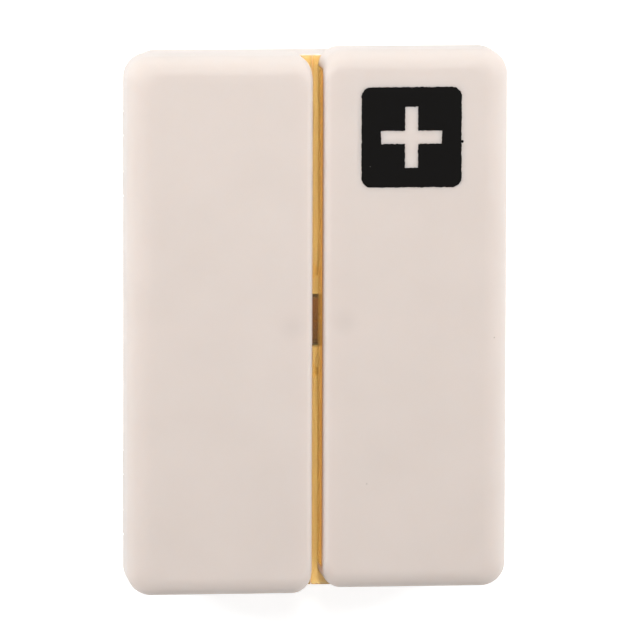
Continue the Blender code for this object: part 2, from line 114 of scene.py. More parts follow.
# Flip lids
LID_THICKNESS = 1.4 * MM
LID_EASE = 0.12 * MM
BARREL_RADIUS = 1.2 * MM
LUG_RADIUS = 1.45 * MM
LUG_LENGTH = 2.2 * MM
LUG_WEB = 1.3 * MM
LUG_ROOT = 0.3 * MM
MIDDLE_LUG_LENGTH = 3.2 * MM
LID_TAIL = 0.4 * MM
LID_CORNER = 1.5 * MM
LIP_DEPTH = 7.4 * MM
LIP_THICKNESS = 0.9 * MM
NOTCH_PLACE = 8.8 * MM
NOTCH_LENGTH = 4.2 * MM
NOTCH_FLAT = 1.1 * MM
NOTCH_REACH = 1.0 * MM
NOTCH_DEPTH = 0.5 * MM
NOTCH_TAPER = 0.6

# Magnets
MAGNET_GAP = 0.25 * MM
MAGNET_CORNER = 1.2 * MM
MAGNET_EASE = 1.0 * MM
POST_WALL = 1.2 * MM

# Printed badge
BADGE_RADIUS = 1.65 * MM
CROSS_LENGTH = 10.7 * MM
CROSS_WIDTH = 2.3 * MM
INK_SUNK = 0.02 * MM
INK_THICKNESS = 0.04 * MM
INK_RAGGED = 0.12 * MM
INK_GRAIN = 3100.0
INK_SEED = 7
INK_STEP = 0.15 * MM
BLOT_RADIUS = 0.25 * MM
BLOT_BESIDE = 0.12 * MM
BLOT_BELOW = 0.8 * MM

# Sink marks over the partition and the magnet post behind each face
SINK_DEPTH = 0.012 * MM
SINK_WIDTH = 0.7 * MM
SPOT_DEPTH = 0.02 * MM
SPOT_RADIUS = 2.4 * MM
SPOT_FROM_GAP = 3.6 * MM
SPOT_CUTS_PER_RADIUS = 5
SPOT_CUTS_EACH_WAY = 12
SHADE_RADIUS = 3.4 * MM
FLAT_TOLERANCE = 1e-7

# Facets and cutters
CORNER_STEPS = 14
ROLL_STEPS = 14
FILLET_STEPS = 7
EASE_STEPS = 3
ROUND_SIDES = 40
PIN_SIDES = 28
CUT_BEYOND = 5.0 * MM
SHARP_ANGLE = math.radians(32)
EDGE_BEVEL = 0.1 * MM
BEVEL_SEGMENTS = 2

# Heights and places that the pieces share
BASE_RIM = PARTING - CLEARANCE / 2
WING_RIM = PARTING + CLEARANCE / 2
LID_FACE = CLEARANCE
LID_BACK = LID_FACE + LID_THICKNESS
LID_SEAT = LID_BACK + CLEARANCE
BORE_RADIUS = PIN_RADIUS + BORE_CLEARANCE
BASE_SIDE = HINGE_X - KNUCKLE_RADIUS - CLEARANCE
BASE_POCKET_OUTER = BASE_SIDE - WALL
WING_POCKET_OUTER = BASE_SIDE - HINGE_RAIL
WING_POCKET_INNER = WING_INNER + WING_INNER_WALL
HINGE_STATION = BASE_LENGTH / 2 - HINGE_FROM_END
BASE_POCKET_END = BASE_LENGTH / 2 - WALL
WING_POCKET_END = WING_LENGTH / 2 - WALL
LIP_END = WING_LENGTH / 2 - INNER_PLAN_RADIUS - CLEARANCE
LIP_RECESS = LIP_THICKNESS + CLEARANCE
LID_NOTCH = LUG_RADIUS + CLEARANCE

# Noise patterns: the part of their range over which colour and roughness change, and their detail
NOISE_SPAN = (0.3, 0.7)
CLOUD_DETAIL = 3.0
FINE_DETAIL = 2.0

# Pale plastic: pattern scales are in cells for each metre, specks are scale, radius and share of cells
PALE_TONES = ((0.714, 0.611, 0.557), (0.734, 0.629, 0.575))
PALE_SHADE = (0.690, 0.592, 0.540)
PALE_SPECK = (0.46, 0.38, 0.32)
PALE_CLOUD = 70.0
PALE_GRAIN = 1800.0
PALE_SPECKS = (130.0, 0.022, 0.12)
PALE_ROUGHNESS = (0.52, 0.60)
PALE_RELIEF = (0.05, 0.02 * MM)
PALE_SPECULAR = 0.42
PALE_SCATTER = 0.8
PALE_SCATTER_RADIUS = (1.0, 0.92, 0.85)
PALE_SCATTER_SCALE = 2.5 * MM

# Amber plastic: a slope counts from the first value of its span and in full from the second
AMBER_TONES = ((0.965, 0.82, 0.47), (0.975, 0.84, 0.495))
# Painted shade: a deeper amber laid on the lids' steep faces, their edges and lips
AMBER_PAINTED_EDGE_SHADE = (0.90, 0.56, 0.18)
AMBER_PAINTED_EDGE_SHADE_SPAN = (0.985, 0.75)
# Painted glow: faint emission on the lids' steep faces, standing in for light led through the plastic
AMBER_PAINTED_GLOW = (0.90, 0.52, 0.14)
AMBER_PAINTED_GLOW_SPAN = (0.5, 0.1)
AMBER_PAINTED_GLOW_STRENGTH = 0.14
AMBER_FLOW = 90.0
AMBER_STRETCH = (1.0, 0.6, 1.0)
AMBER_ROUGHNESS = (0.20, 0.24)
AMBER_CLEARNESS = 0.93
AMBER_SPECULAR = 0.15
AMBER_IOR = 1.3
AMBER_SHADOW = (0.98, 0.89, 0.65)

# Metals
STEEL_TONES = ((0.56, 0.55, 0.54), (0.68, 0.67, 0.66))
STEEL_ROUGHNESS = (0.22, 0.34)
STEEL_STRETCH = (1.0, 0.05, 1.0)
MAGNET_TONES = ((0.075, 0.023, 0.012), (0.115, 0.034, 0.019))
MAGNET_ROUGHNESS = (0.40, 0.60)
METAL_STAIN = 500.0
METAL_RELIEF = (0.1, 0.02 * MM)

# Ink
INK_TONES = ((0.0024, 0.0020, 0.0018), (0.0042, 0.0036, 0.0032))
INK_PINHOLE = (0.075, 0.068, 0.060)
INK_COVER = 900.0
INK_PINHOLES = (560.0, 0.06, 0.16)
INK_ROUGHNESS = (0.55, 0.75)
INK_RELIEF = (0.1, 0.01 * MM)
INK_SPECULAR = 0.06

# Studio: the floor lies a little under the case, and its glow shows only to the eye and in reflections
BLACK = (0.0, 0.0, 0.0)
WHITE = (1.0, 1.0, 1.0)
STUDIO_HALF = 2.2
STUDIO_DROP = 0.3 * MM
STUDIO_TONE = (0.78, 0.78, 0.78)
STUDIO_ROUGHNESS = 0.9
STUDIO_GLOW = 0.72
WORLD_LIGHT = 0.11

# Lamps: place, width, height, power and colour. Light from the sides and the far end is a little cool
COOL = (0.92, 0.98, 1.0)
LAMPS = {
    "front_lamp": ((-0.035, 0.20, 0.56), 0.05, 0.20, 1.30, WHITE),
    "left_fill": ((-0.42, 0.20, 0.36), 0.20, 0.25, 1.60, COOL),
    "right_fill": ((0.45, 0.22, 0.38), 0.20, 0.25, 1.58, COOL),
    "left_lamp": ((-0.95, 0.05, 0.11), 0.70, 0.20, 2.2, COOL),
    "right_lamp": ((0.95, 0.05, 0.12), 0.70, 0.20, 3.3, COOL),
    "end_lamp": ((0.0, 0.70, 0.06), 0.70, 0.10, 1.0, COOL),
    "near_lamp": ((0.0, -0.85, 0.14), 0.70, 0.25, 1.9, WHITE),
}

# Camera, fitted to the photograph
CAMERA_YAW = math.radians(6.0)
CAMERA_TILT = math.radians(6.809)
CAMERA_ROLL = math.radians(-0.151)
CAMERA_DISTANCE = 1411.7 * MM
CAMERA_LENS = 449.4
CAMERA_ASIDE = 1.705 * MM
CAMERA_DOWN = 0.095 * MM
CAMERA_SENSOR = 36.0
CAMERA_RANGE = (0.1, 10.0)


def rounded_outline(x0, x1, y0, y1, radius, inner_radius=None, steps=CORNER_STEPS):
    """Points round a rectangle with arcs at its corners, anticlockwise.

    The two corners at x0 take the inner radius where one is given.
    """
    other = radius if inner_radius is None else inner_radius
    points = []
    corners = ((x1, -1, y1, -1, radius), (x0, 1, y1, -1, other),
               (x0, 1, y0, 1, other), (x1, -1, y0, 1, radius))
    for quarter, (edge_x, way_x, edge_y, way_y, bend) in enumerate(corners):
        cx = edge_x + way_x * bend
        cy = edge_y + way_y * bend
        for step in range(steps + 1):
            angle = (quarter + step / steps) * math.pi / 2
            points.append((cx + bend * math.cos(angle), cy + bend * math.sin(angle)))
    return points


def shrunk(points, distance):
    """The outline moved inward by a distance, its corners kept."""
    moved = []
    for i, (x, y) in enumerate(points):
        back = Vector((x, y)) - Vector(points[i - 1])
        ahead = Vector(points[(i + 1) % len(points)]) - Vector((x, y))
        first = Vector((-back.y, back.x)).normalized()
        second = Vector((-ahead.y, ahead.x)).normalized()
        shift = (first + second) * (distance / (1 + first.dot(second)))
        moved.append((x + shift.x, y + shift.y))
    return moved


def link(name, shape):
    """A new object in the scene that holds the shape."""
    mesh = bpy.data.meshes.new(name)
    shape.to_mesh(mesh)
    shape.free()
    item = bpy.data.objects.new(name, mesh)
    bpy.context.scene.collection.objects.link(item)
    return item


def loft(name, rings):
    """Closed solid through rings of equal length, from the bottom up."""
    shape = bmesh.new()
    made = [[shape.verts.new(point) for point in ring] for ring in rings]
    count = len(rings[0])
    shape.faces.new(list(reversed(made[0])))
    shape.faces.new(made[-1])
    for low, high in zip(made, made[1:]):
        for i in range(count):
            j = (i + 1) % count
            shape.faces.new((low[i], low[j], high[j], high[i]))
    return link(name, shape)


def prism(name, outline, z0, z1):
    """Straight solid on an outline, between two heights."""
    return loft(name, [[(x, y, z) for x, y in outline] for z in (z0, z1)])


def eased_prism(name, outline, z0, z1, ease):
    """Prism with its upper and lower edges rounded over."""
    rings = []
    for way, start in ((1, z0), (-1, z1)):
        half = []
        for step in range(EASE_STEPS + 1):
            angle = step / EASE_STEPS * math.pi / 2
            z = start + way * ease * (1 - math.cos(angle))
            half.append([(x, y, z) for x, y in shrunk(outline, ease * (1 - math.sin(angle)))])
        rings += half if way > 0 else half[::-1]
    return loft(name, rings)


def block(name, x0, x1, y0, y1, z0, z1):
    """Box between two values on each axis."""
    return prism(name, [(x1, y1), (x0, y1), (x0, y0), (x1, y0)], z0, z1)


def circle(x, y, z, radius, sides):
    """Points round a circle that faces along Y."""
    angles = [(i + 0.5) * 2 * math.pi / sides for i in range(sides)]
    return [(x + radius * math.cos(a), y, z + radius * math.sin(a)) for a in angles]


def round_bar(name, x, z, y0, y1, radius):
    """Cylinder along Y."""
    return loft(name, [circle(x, y, z, radius, ROUND_SIDES) for y in (y1, y0)])


def combine(target, tools, operation):
    """Join the tools to the target, or cut them from it, and leave one plain mesh."""
    for tool in tools:
        change = target.modifiers.new(tool.name, "BOOLEAN")
        change.operation = operation
        change.object = tool
    bpy.context.view_layer.update()
    graph = bpy.context.evaluated_depsgraph_get()
    result = bpy.data.meshes.new_from_object(target.evaluated_get(graph))
    target.modifiers.clear()
    target.data = result
    for tool in tools:
        bpy.data.objects.remove(tool, do_unlink=True)


def mirrored(item, side, end, middle):
    """Turn a piece of the right upper quarter into its twin on another side or end."""
    flip = Matrix.Translation((0, middle, 0)) @ Matrix.Diagonal((side, end, 1, 1))
    item.data.transform(flip @ Matrix.Translation((0, -middle, 0)))
    if side * end < 0:
        item.data.flip_normals()


def cut_faces(item):
    """Cut faces of more than four sides into triangles, so that none is filled across a notch."""
    shape = bmesh.new()
    shape.from_mesh(item.data)
    bmesh.ops.triangulate(shape, faces=[face for face in shape.faces if len(face.verts) > 4])
    shape.to_mesh(item.data)
    shape.free()


def finish(item, surface, body, node, bevel=EDGE_BEVEL):
    """Shade a piece, ease its sharp edges, and put it in its node's place on its body.

    The easing stays far below its set width, because short edges left by the cuts limit it.
    """
    item.data.materials.clear()
    item.data.materials.append(surface)
    for face in item.data.polygons:
        face.use_smooth = True
    item.data.set_sharp_from_angle(angle=SHARP_ANGLE)
    if bevel:
        edges = item.modifiers.new("edges", "BEVEL")
        edges.width = bevel
        edges.segments = BEVEL_SEGMENTS
        edges.limit_method = "ANGLE"
        edges.angle_limit = SHARP_ANGLE
        edges.use_clamp_overlap = True
        edges.miter_outer = "MITER_ARC"
        normals = item.modifiers.new("normals", "WEIGHTED_NORMAL")
        normals.keep_sharp = False
    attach(item, body)
    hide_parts(node)


def pocket(name, x0, x1, y0, y1, floor, mouth):
    """Cutter for one compartment, with rounded corners and a fillet round its floor."""
    way = 1 if mouth > floor else -1
    rings = []
    for step in range(FILLET_STEPS + 1):
        angle = step / FILLET_STEPS * math.pi / 2
        inset = POCKET_FILLET * (1 - math.sin(angle))
        z = floor + way * POCKET_FILLET * (1 - math.cos(angle))
        outline = rounded_outline(x0 + inset, x1 - inset, y0 + inset, y1 - inset, POCKET_RADIUS - inset,
                                  steps=FILLET_STEPS)
        rings.append([(x, y, z) for x, y in outline])
    rings.append([(x, y, mouth) for x, y, _ in rings[-1]])
    if way < 0:
        rings.reverse()
    return loft(name, rings)


def lid_lugs(label, pivot_x, pivot_z, wall_x, pocket_end, middle):
    """The eyes in which a lid rod sits: one at each end and one between the two lids."""
    spans = [(pocket_end - LUG_LENGTH, pocket_end + LUG_ROOT),
             (-MIDDLE_LUG_LENGTH / 2, MIDDLE_LUG_LENGTH / 2),
             (-pocket_end - LUG_ROOT, LUG_LENGTH - pocket_end)]
    lugs = []
    for i, (y0, y1) in enumerate(spans):
        lugs.append(round_bar(f"{label}_eye_{i}", pivot_x, pivot_z, middle + y0, middle + y1, LUG_RADIUS))
        lugs.append(block(f"{label}_web_{i}", pivot_x, wall_x + LUG_ROOT, middle + y0, middle + y1,
                          pivot_z - LUG_WEB, pivot_z + LUG_WEB))
    return lugs


def rod_bore(pivot_x, pivot_z, pocket_end, outside, middle):
    """Hole for a lid rod, blind in the upper end and open in the lower one."""
    blind_end = middle + pocket_end + WALL / 4
    return round_bar("rod_bore", pivot_x, pivot_z, middle - outside, blind_end, BORE_RADIUS)


def knuckle_spans(end):
    """Base knuckles and wing knuckle of one hinge, as spans along the base's length."""
    centre = BASE_MIDDLE + end * HINGE_STATION
    inner = WING_KNUCKLE / 2
    outer = inner + CLEARANCE
    base = [(centre - outer - BASE_KNUCKLE, centre - outer),
            (centre + outer, centre + outer + BASE_KNUCKLE)]
    return base, (centre - inner, centre + inner)


def build_tray(surface):
    """Base moulding: four compartments, the magnet's post, the lid rods' eyes and the hinge knuckles."""
    half = BASE_LENGTH / 2

    def ring(inset, z):
        outline = rounded_outline(inset - BASE_SIDE, BASE_SIDE - inset, BASE_MIDDLE - half + inset,
                                  BASE_MIDDLE + half - inset, BASE_PLAN_RADIUS - inset)
        return [(x, y, z) for x, y in outline]

    rings = [ring(BACK_ROLL + FACE_RING, 0.0)]
    for step in range(ROLL_STEPS + 1):
        angle = step / ROLL_STEPS * math.pi / 2
        rings.append(ring(BACK_ROLL * (1 - math.sin(angle)), BACK_ROLL * (1 - math.cos(angle))))
    for step in range(EASE_STEPS + 1):
        angle = step / EASE_STEPS * math.pi / 2
        rings.append(ring(RIM_EASE * (1 - math.cos(angle)), BASE_RIM - RIM_EASE * (1 - math.sin(angle))))
    tray = loft("tray_piece", rings)

    above = PARTING + CUT_BEYOND
    seat = PARTING - LID_SEAT
    cuts = []
    for side in SIDES.values():
        for end in ENDS.values():
            hole = pocket("pocket", SPINE / 2, BASE_POCKET_OUTER, BASE_MIDDLE + PARTITION / 2,
                          BASE_MIDDLE + BASE_POCKET_END, FLOOR, above)
            mirrored(hole, side, end, BASE_MIDDLE)
            cuts.append(hole)
    cuts.append(block("lid_seat", -BASE_PIVOT_X, BASE_PIVOT_X, BASE_MIDDLE - BASE_LENGTH,
                      BASE_MIDDLE + BASE_LENGTH, seat, above))
    for side in SIDES.values():
        edges = sorted((side * (BASE_PIVOT_X - WALL), side * BASE_POCKET_OUTER))
        cuts.append(block("swing", *edges, BASE_MIDDLE - BASE_LENGTH, BASE_MIDDLE + BASE_LENGTH,
                          BASE_RIM - CLEARANCE, above))
    combine(tray, cuts, "DIFFERENCE")

    low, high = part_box("base_magnet")
    around = MAGNET_GAP + POST_WALL
    joins = [block("post", low.x - around, high.x + around, low.y - around, high.y + around,
                   FLOOR / 2, seat)]
    for side in SIDES.values():
        lugs = lid_lugs("base", BASE_PIVOT_X, PARTING - PIVOT_DEPTH, BASE_POCKET_OUTER, BASE_POCKET_END,
                        BASE_MIDDLE)
        for end in ENDS.values():
            for y0, y1 in knuckle_spans(end)[0]:
                lugs.append(round_bar("knuckle", HINGE_X, PARTING, y0, y1, KNUCKLE_RADIUS))
                lugs.append(block("knuckle_arm", BASE_SIDE - WALL / 2, HINGE_X, y0, y1,
                                  PARTING - KNUCKLE_ARM, BASE_RIM - CLEARANCE / 4))
        for lug in lugs:
            mirrored(lug, side, 1, BASE_MIDDLE)
        joins += lugs
    combine(tray, joins, "UNION")

    cuts = [block("magnet_room", low.x - MAGNET_GAP, high.x + MAGNET_GAP, low.y - MAGNET_GAP,
                  high.y + MAGNET_GAP, low.z - MAGNET_GAP, above)]
    for side in SIDES.values():
        bores = [rod_bore(BASE_PIVOT_X, PARTING - PIVOT_DEPTH, BASE_POCKET_END, BASE_LENGTH, BASE_MIDDLE)]
        for end in ENDS.values():
            low_span, high_span = knuckle_spans(end)[0]
            bores.append(round_bar("pin_bore", HINGE_X, PARTING, low_span[0] - CLEARANCE,
                                   high_span[1] + CLEARANCE, BORE_RADIUS))
        for bore in bores:
            mirrored(bore, side, 1, BASE_MIDDLE)
        cuts += bores
    combine(tray, cuts, "DIFFERENCE")
    cut_faces(tray)
    finish(tray, surface, "base", "base_tray")


def sink_face(shell, middle):
    """Press the sink marks into a right-hand wing's face, over its partition and its magnet post."""
    shape = bmesh.new()
    shape.from_mesh(shell.data)

    def face_parts():
        faces = [f for f in shape.faces
                 if all(abs(v.co.z - CASE_HEIGHT) < FLAT_TOLERANCE for v in f.verts)]
        edges = {e for f in faces for e in f.edges}
        return list({v for f in faces for v in f.verts}) + list(edges) + faces

    cuts = range(-SPOT_CUTS_EACH_WAY, SPOT_CUTS_EACH_WAY + 1)
    steps = [i * SPOT_RADIUS / SPOT_CUTS_PER_RADIUS for i in cuts]
    for dy in steps:
        bmesh.ops.bisect_plane(shape, geom=face_parts(), plane_co=(0, middle + dy, 0),
                               plane_no=(0, 1, 0))
    for dx in steps:
        place = WING_INNER + SPOT_FROM_GAP + dx
        if place > WING_INNER + INNER_ROLL + FACE_RING:
            bmesh.ops.bisect_plane(shape, geom=face_parts(), plane_co=(place, 0, 0),
                                   plane_no=(1, 0, 0))
    inner = WING_INNER + INNER_ROLL + FACE_RING / 2
    outer = WING_OUTER - OUTER_ROLL - FACE_RING / 2
    spot = Vector((WING_INNER + SPOT_FROM_GAP, middle))
    for vert in shape.verts:
        x, y, z = vert.co
        if abs(z - CASE_HEIGHT) < FLAT_TOLERANCE and inner < x < outer:
            line = math.exp(-((y - middle) / SINK_WIDTH) ** 2)
            round_mark = math.exp(-((Vector((x, y)) - spot).length / SPOT_RADIUS) ** 2)
            vert.co.z -= SINK_DEPTH * line + SPOT_DEPTH * round_mark
    shape.to_mesh(shell.data)
    shape.free()


def inner_share(z):
    """Share of the roll beside the gap that a wing has taken at a height."""
    up = max(0.0, 1 - (CASE_HEIGHT - z) / INNER_ROLL_DEPTH)
    return 1 - math.sqrt(max(0.0, 1 - up * up))


def build_wing(side_name, surface):
    """Wing moulding, shaped as the right one and then put on its side."""
    side = SIDES[side_name]
    middle = WING_MIDDLE[side_name]
    half = WING_LENGTH / 2

    def ring(share, z, extra=0.0):
        inner_roll = INNER_ROLL * inner_share(z)
        outline = rounded_outline(WING_INNER + inner_roll + extra,
                                  WING_OUTER - OUTER_ROLL * share - extra,
                                  middle - half + END_ROLL * share + extra,
                                  middle + half - END_ROLL * share - extra,
                                  PLAN_RADIUS + (FACE_RADIUS - PLAN_RADIUS) * share - extra,
                                  INNER_PLAN_RADIUS - inner_roll - extra)
        return [(x, y, z) for x, y in outline]

    rings = []
    for step in range(EASE_STEPS + 1):
        angle = step / EASE_STEPS * math.pi / 2
        rings.append(ring(0.0, WING_RIM + RIM_EASE * (1 - math.cos(angle)),
                          RIM_EASE * (1 - math.sin(angle))))
    for step in range(ROLL_STEPS + 1):
        angle = step / ROLL_STEPS * math.pi / 2
        rings.append(ring(1 - math.cos(angle), CASE_HEIGHT - ROLL_DEPTH * (1 - math.sin(angle))))
    rings.append(ring(1.0, CASE_HEIGHT, FACE_RING))
    shell = loft(f"{side_name}_wing_piece", rings)

    below = PARTING - CUT_BEYOND
    seat = PARTING + LID_SEAT
    cuts = []
    for end in ENDS.values():
        hole = pocket("pocket", WING_POCKET_INNER, WING_POCKET_OUTER, middle + PARTITION / 2,
                      middle + WING_POCKET_END, CASE_HEIGHT - FLOOR, below)
        mirrored(hole, 1, end, middle)
        cuts.append(hole)
    cuts.append(block("lid_seat", WING_POCKET_INNER - CLEARANCE, WING_PIVOT_X, middle - LIP_END,
                      middle + LIP_END, below, seat))
    cuts.append(block("swing", WING_PIVOT_X - WALL, WING_POCKET_OUTER, middle - WING_POCKET_END,
                      middle + WING_POCKET_END, below, WING_RIM + CLEARANCE))
    lip_low = middle - LIP_END - CLEARANCE
    lip_high = middle + LIP_END + CLEARANCE
    cuts.append(block("lip_step", -WING_INNER, WING_POCKET_INNER + CLEARANCE, lip_low, lip_high,
                      below, seat))
    cuts.append(block("lip_room", -WING_INNER, WING_INNER + LIP_RECESS, lip_low, lip_high,
                      below, PARTING + LID_FACE + LIP_DEPTH + CLEARANCE))
    for end in ENDS.values():
        low, high = knuckle_spans(end)[0]
        cuts.append(block("knuckle_room", BASE_SIDE, WING_OUTER + WALL, low[0] - CLEARANCE,
                          high[1] + CLEARANCE, below, PARTING + KNUCKLE_RADIUS + CLEARANCE))
    combine(shell, cuts, "DIFFERENCE")

    low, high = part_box("right_wing_magnet")
    magnet_half = (high.y - low.y) / 2 + MAGNET_GAP
    joins = [block("post", WING_INNER + LIP_RECESS + WALL / 4, high.x + MAGNET_GAP + POST_WALL,
                   middle - magnet_half - POST_WALL, middle + magnet_half + POST_WALL, seat,
                   CASE_HEIGHT - FLOOR / 2)]
    joins += lid_lugs("wing", WING_PIVOT_X, PARTING + PIVOT_DEPTH, WING_POCKET_OUTER,
                      WING_POCKET_END, middle)
    for end in ENDS.values():
        y0, y1 = knuckle_spans(end)[1]
        joins.append(round_bar("knuckle", HINGE_X, PARTING, y0, y1, KNUCKLE_RADIUS))
        joins.append(block("knuckle_root", HINGE_X - KNUCKLE_RADIUS, WING_OUTER, y0, y1, PARTING,
                           PARTING + KNUCKLE_RADIUS + 2 * CLEARANCE))
    combine(shell, joins, "UNION")

    cuts = [block("magnet_room", WING_INNER + LIP_RECESS / 2, high.x + MAGNET_GAP, middle - magnet_half,
                  middle + magnet_half, below, high.z + MAGNET_GAP)]
    cuts.append(rod_bore(WING_PIVOT_X, PARTING + PIVOT_DEPTH, WING_POCKET_END, WING_LENGTH, middle))
    for end in ENDS.values():
        y0, y1 = knuckle_spans(end)[1]
        cuts.append(round_bar("pin_bore", HINGE_X, PARTING, y0 - CLEARANCE, y1 + CLEARANCE,
                              BORE_RADIUS))
    combine(shell, cuts, "DIFFERENCE")
    sink_face(shell, middle)
    mirrored(shell, side, 1, middle)
    cut_faces(shell)
    finish(shell, surface, f"{side_name}_wing", f"{side_name}_wing_shell")


def lid_outline(inner_x, pivot_x, barrel_end, corner):
    """Plan of a right upper lid, anticlockwise, with notches round the rod's eyes."""
    cut = pivot_x - LID_NOTCH
    tail = pivot_x + LID_TAIL
    first = MIDDLE_LUG_LENGTH / 2 + CLEARANCE
    end_y = corner[0][1]
    points = [(inner_x, SEAM / 2), (cut, SEAM / 2), (cut, first), (tail, first)]
    points += [(tail, barrel_end), (cut, barrel_end), (cut, end_y)]
    return points + corner


def lid_barrel(lid, pivot_x, pivot_z, barrel_end, middle):
    """Join the hinge barrel to a lid and bore it for its rod."""
    first = MIDDLE_LUG_LENGTH / 2 + CLEARANCE
    last = middle + barrel_end
    barrel = round_bar("barrel", pivot_x, pivot_z, middle + first, last, BARREL_RADIUS)
    combine(lid, [barrel], "UNION")
    bore = round_bar("barrel_bore", pivot_x, pivot_z, middle, last + WALL, BORE_RADIUS)
    combine(lid, [bore], "DIFFERENCE")


def thumb_notch(top):
    """Cutter for the tapered scoop at a base lid's free edge."""
    y = BASE_MIDDLE + NOTCH_PLACE
    rings = []
    for way in (-1, 1):
        z = top + way * NOTCH_DEPTH
        grow = 1 + way * NOTCH_TAPER
        wide = NOTCH_LENGTH / 2 * grow
        flat = NOTCH_FLAT / 2 * grow
        reach = SEAM / 2 + NOTCH_REACH * grow
        rings.append([(reach, y - flat, z), (reach, y + flat, z),
                      (-SEAM, y + wide, z), (-SEAM, y - wide, z)])
    return loft("thumb_notch", rings)


def build_base_lid(side_name, end_name, surface):
    """Flat lid over one of the tray's compartments, with a thumb notch at the gap."""
    barrel_end = BASE_POCKET_END - LUG_LENGTH - CLEARANCE
    outline = lid_outline(SEAM / 2, BASE_PIVOT_X, barrel_end, [(SEAM / 2, BASE_LENGTH / 2)])
    outline = [(x, y + BASE_MIDDLE) for x, y in outline]
    top = PARTING - LID_FACE
    lid = eased_prism(f"base_lid_{end_name}_{side_name}_piece", outline, PARTING - LID_BACK, top,
                      LID_EASE)
    lid_barrel(lid, BASE_PIVOT_X, PARTING - PIVOT_DEPTH, barrel_end, BASE_MIDDLE)
    combine(lid, [thumb_notch(top)], "DIFFERENCE")
    mirrored(lid, SIDES[side_name], ENDS[end_name], BASE_MIDDLE)
    finish(lid, surface, f"{end_name}_{side_name}_base_lid",
           f"base_lid_{end_name}_{side_name}")


def build_wing_lid(side_name, end_name, surface):
    """Lid over one of a wing's compartments, with a lip that stands along the gap."""
    middle = WING_MIDDLE[side_name]
    barrel_end = WING_POCKET_END - LUG_LENGTH - CLEARANCE
    inset_x = WING_POCKET_INNER + CLEARANCE
    end_y = WING_POCKET_END - CLEARANCE
    corner = [(inset_x + LID_CORNER, end_y), (inset_x, end_y - LID_CORNER), (inset_x, LIP_END),
              (WING_INNER, LIP_END)]
    outline = lid_outline(WING_INNER, WING_PIVOT_X, barrel_end, corner)
    outline = [(x, y + middle) for x, y in outline]
    bottom = PARTING + LID_FACE
    lid = eased_prism(f"wing_lid_{end_name}_{side_name}_piece", outline, bottom, PARTING + LID_BACK,
                      LID_EASE)
    lip_back = WING_INNER + LIP_THICKNESS
    lip_outline = [(lip_back, middle + LIP_END), (WING_INNER, middle + LIP_END),
                   (WING_INNER, middle + SEAM / 2), (lip_back, middle + SEAM / 2)]
    lip = eased_prism("lip", lip_outline, bottom + LID_THICKNESS / 2 - LID_EASE, bottom + LIP_DEPTH,
                      LID_EASE)
    combine(lid, [lip], "UNION")
    lid_barrel(lid, WING_PIVOT_X, PARTING + PIVOT_DEPTH, barrel_end, middle)
    mirrored(lid, SIDES[side_name], ENDS[end_name], middle)
    finish(lid, surface, f"{end_name}_{side_name}_wing_lid",
           f"wing_lid_{end_name}_{side_name}")


def build_magnet(node, body, surface):
    """Block magnet with rounded corners and well rounded edges."""
    low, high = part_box(node)
    outline = rounded_outline(low.x, high.x, low.y, high.y, MAGNET_CORNER, steps=FILLET_STEPS)
    magnet = eased_prism(f"{node}_piece", outline, low.z, high.z, MAGNET_EASE)
    finish(magnet, surface, body, node, bevel=0)


def build_pin(node, body, surface):
    """Steel pin or rod along Y, with its ends chamfered."""
    low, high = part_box(node)
    centre = (low + high) / 2
    rings = []
    for y, radius in ((high.y, PIN_RADIUS - PIN_CHAMFER), (high.y - PIN_CHAMFER, PIN_RADIUS),
                      (low.y + PIN_CHAMFER, PIN_RADIUS), (low.y, PIN_RADIUS - PIN_CHAMFER)):
        rings.append(circle(centre.x, y, centre.z, radius, PIN_SIDES))
    finish(loft(f"{node}_piece", rings), surface, body, node, bevel=0)


def ragged(points):
    """The outline cut into short steps, each a little out of true, as a printed edge is."""
    made = []
    for i, start in enumerate(points):
        a = Vector(start)
        b = Vector(points[(i + 1) % len(points)])
        count = max(1, round((b - a).length / INK_STEP))
        for step in range(count):
            place = a.lerp(b, step / count)
            wander = noise.noise_vector(Vector((place.x, place.y, 0)) * INK_GRAIN)
            made.append((place.x + wander.x * INK_RAGGED, place.y + wander.y * INK_RAGGED))
    return made


def build_badge(surface):
    """Printed square on the right wing's face, open at its plus, with a blot of ink at its outer edge."""
    noise.seed_set(INK_SEED)
    low, high = BADGE_BOX
    centre = (low + high) / 2
    z0 = CASE_HEIGHT - INK_SUNK
    z1 = CASE_HEIGHT + INK_THICKNESS
    square = ragged(rounded_outline(low.x, high.x, low.y, high.y, BADGE_RADIUS))
    badge = prism("badge_piece", square, z0, z1)
    arm = CROSS_LENGTH / 2
    wide = CROSS_WIDTH / 2
    corners = [(wide, wide), (wide, arm), (-wide, arm), (-wide, wide), (-arm, wide), (-arm, -wide),
               (-wide, -wide), (-wide, -arm), (wide, -arm), (wide, -wide), (arm, -wide), (arm, wide)]
    plus_outline = ragged([(centre.x + dx, centre.y + dy) for dx, dy in corners])
    plus = prism("plus", plus_outline, z0 - INK_THICKNESS, z1 + INK_THICKNESS)
    combine(badge, [plus], "DIFFERENCE")
    blot_x = high.x + BLOT_BESIDE
    blot_y = centre.y - BLOT_BELOW
    angles = [i * 2 * math.pi / PIN_SIDES for i in range(PIN_SIDES)]
    blot = [(blot_x + BLOT_RADIUS * math.cos(a), blot_y + BLOT_RADIUS * math.sin(a)) for a in angles]
    combine(badge, [prism("blot", blot, z0, z1)], "UNION")
    finish(badge, surface, "right_wing", "cross_badge", bevel=0)


def new_material(name):
    """A material with one Principled shader, its nodes, and the piece's own coordinates."""
    made = bpy.data.materials.new(name)
    made.use_nodes = True
    nodes = made.node_tree.nodes
    links = made.node_tree.links
    place = nodes.new("ShaderNodeTexCoord")
    return made, nodes, links, nodes["Principled BSDF"], place.outputs["Object"]


